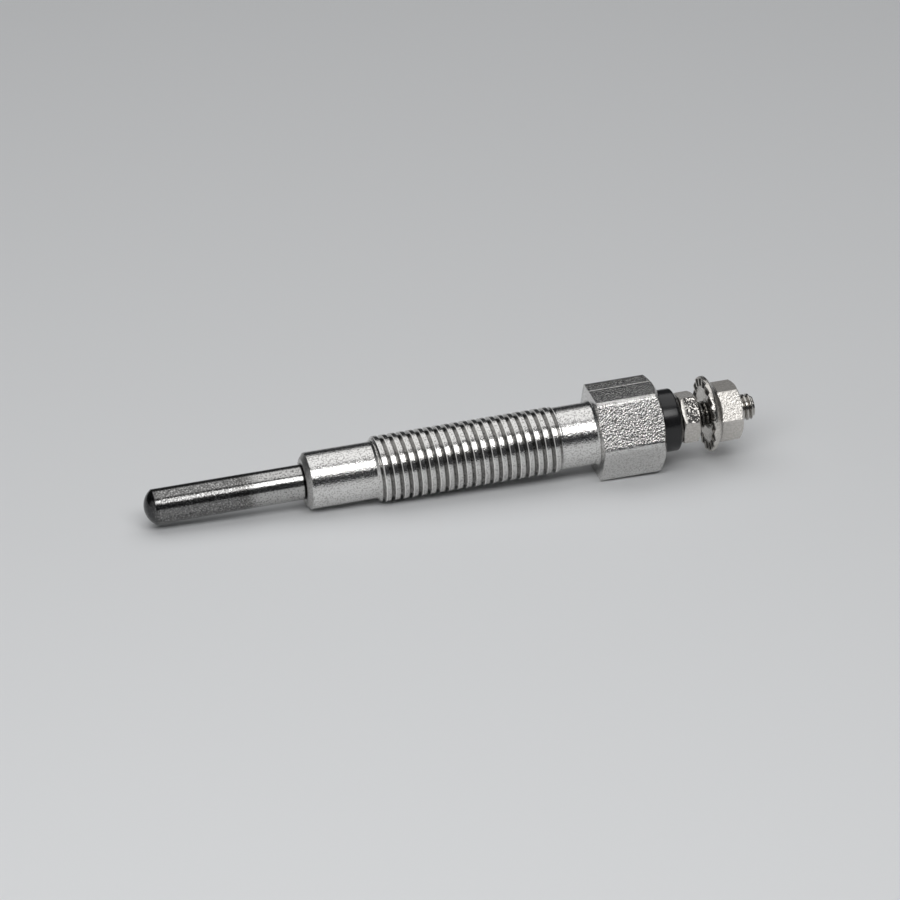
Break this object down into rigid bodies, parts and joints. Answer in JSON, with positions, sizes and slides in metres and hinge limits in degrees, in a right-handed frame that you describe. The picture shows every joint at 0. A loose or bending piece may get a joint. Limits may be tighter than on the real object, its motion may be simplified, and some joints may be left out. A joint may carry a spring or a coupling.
{
  "type": "diesel glow plug",
  "caption": "Screw-in diesel glow plug with a sheathed rod heater, conical seat, screwed steel body with hexagon, black insulator and a stud terminal with nuts.",
  "frame": {"origin": "on the plug's axis at the rim of the conical seat, where the body's plain nose begins", "axes": "+X along the plug's axis from the heater tip to the terminal, +Z square to the upper flat of the body's hexagon"},
  "size_m": [0.094, 0.0148, 0.013],
  "materials": {
    "plated_steel": "satin",
    "tempered_steel": "satin",
    "coil_wire": "satin",
    "packed_powder": "matte",
    "seal_rubber": "matte",
    "black_moulding": "gloss",
    "stud_steel": "satin",
    "nut_steel": "satin"
  },
  "bodies": {
    "root": {"body": "plated_steel", "heater_sheath": "tempered_steel", "heating_coil": "coil_wire", "regulating_coil": "coil_wire", "insulating_powder": "packed_powder", "sheath_seal": "seal_rubber", "terminal_rod": "stud_steel", "body_seal_ring": "seal_rubber", "insulator": "black_moulding", "clamp_nut": "nut_steel", "flange_nut": "nut_steel"}
  },
  "joints": []
}
